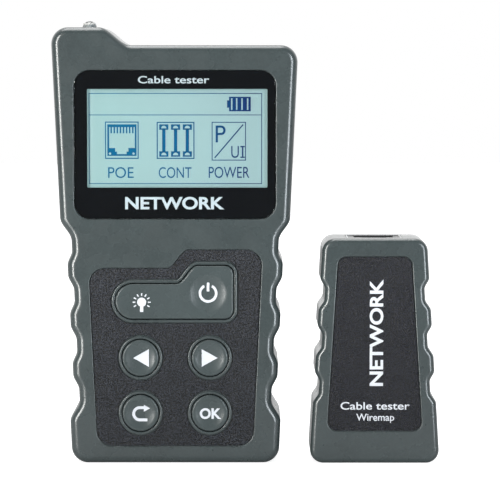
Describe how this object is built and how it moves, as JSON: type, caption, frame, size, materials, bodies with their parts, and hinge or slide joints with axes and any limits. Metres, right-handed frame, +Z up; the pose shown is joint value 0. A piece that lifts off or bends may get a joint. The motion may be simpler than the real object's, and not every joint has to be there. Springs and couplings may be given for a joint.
{
  "type": "network cable tester",
  "caption": "Handheld network cable tester with LCD, keypad, torch and top jacks, standing beside its remote terminator.",
  "frame": {"origin": "middle of the handset's base, on the surface both units stand on", "axes": "+X to the right seen from the front, +Y to the back, +Z up along the handset"},
  "size_m": [0.1152, 0.0329, 0.1318],
  "materials": {
    "shell_plastic": "fine spark texture, satin",
    "overlay_film": "coarse matt grain",
    "key_plastic": "smooth satin",
    "lens_clear": "polished",
    "mask_black": "gloss print",
    "lcd_glass": "pale blue-green",
    "diffuser_white": "milky",
    "ribbon_amber": "polyimide film",
    "board_green": "solder mask",
    "chip_black": "moulded",
    "steel": "nickel plated",
    "tin": "tinned sheet",
    "contact_gold": "gold plated",
    "jack_black": "moulded",
    "torch_clear": "clear epoxy",
    "cell_sleeve": "shrink sleeve",
    "print_white": "screen print",
    "lcd_ink": "liquid crystal segments"
  },
  "bodies": {
    "handset": {"front_shell": "shell_plastic", "rear_shell": "shell_plastic", "display_lens": "lens_clear", "display_mask": "mask_black", "lcd_panel": "lcd_glass", "lcd_backlight": "diffuser_white", "lcd_ribbon": "ribbon_amber", "main_board": "board_green", "keypad_overlay": "overlay_film", "key_switches": "chip_black", "microcontroller": "chip_black", "power_inductor": "chip_black", "board_capacitors": "tin", "buzzer": "chip_black", "port_a_shield": "tin", "port_a_insert": "jack_black", "port_a_contacts": "contact_gold", "port_b_shield": "tin", "port_b_insert": "jack_black", "port_b_contacts": "contact_gold", "torch_led": "torch_clear", "torch_leads": "tin", "torch_holder": "chip_black", "battery_1": "cell_sleeve", "battery_2": "cell_sleeve", "battery_3": "cell_sleeve", "battery_springs": "steel", "battery_plates": "steel", "case_screws": "steel", "board_screws": "steel"},
    "light_power": {"light_power_key": "key_plastic", "light_plunger": "diffuser_white", "power_plunger": "diffuser_white"},
    "left": {"left_key": "key_plastic", "left_plunger": "diffuser_white"},
    "right": {"right_key": "key_plastic", "right_plunger": "diffuser_white"},
    "back": {"back_key": "key_plastic", "back_plunger": "diffuser_white"},
    "ok": {"ok_key": "key_plastic", "ok_plunger": "diffuser_white"},
    "door": {"battery_door": "shell_plastic"},
    "remote": {"remote_front_shell": "shell_plastic", "remote_rear_shell": "shell_plastic", "remote_overlay": "overlay_film", "remote_board": "board_green", "remote_jack_shield": "tin", "remote_jack_insert": "jack_black", "remote_jack_contacts": "contact_gold", "remote_diodes": "chip_black", "remote_case_screws": "steel", "remote_board_screws": "steel"}
  },
  "joints": [
    {"name": "light_power_rock", "type": "hinge", "parent": "handset", "child": "light_power", "pos_m": [-0.0002, -0.0126, 0.0485], "axis": [0, 0, 1], "range_deg": [-1.8, 1.8], "stiffness_Nm_per_rad": 0.3},
    {"name": "left_key_press", "type": "slide", "parent": "handset", "child": "left", "axis": [0, 1, 0], "range_m": [0, 0.0005], "stiffness_N_per_m": 1200},
    {"name": "right_key_press", "type": "slide", "parent": "handset", "child": "right", "axis": [0, 1, 0], "range_m": [0, 0.0005], "stiffness_N_per_m": 1200},
    {"name": "back_key_press", "type": "slide", "parent": "handset", "child": "back", "axis": [0, 1, 0], "range_m": [0, 0.0005], "stiffness_N_per_m": 1200},
    {"name": "ok_key_press", "type": "slide", "parent": "handset", "child": "ok", "axis": [0, 1, 0], "range_m": [0, 0.0005], "stiffness_N_per_m": 1200},
    {"name": "battery_door_swing", "type": "hinge", "parent": "handset", "child": "door", "pos_m": [0, 0.015, 0.0672], "axis": [1, 0, 0], "range_deg": [0, 85]},
    {"name": "remote_slide", "type": "slide", "parent": "handset", "child": "remote", "axis": [1, 0, 0], "range_m": [0, 0.12]}
  ]
}
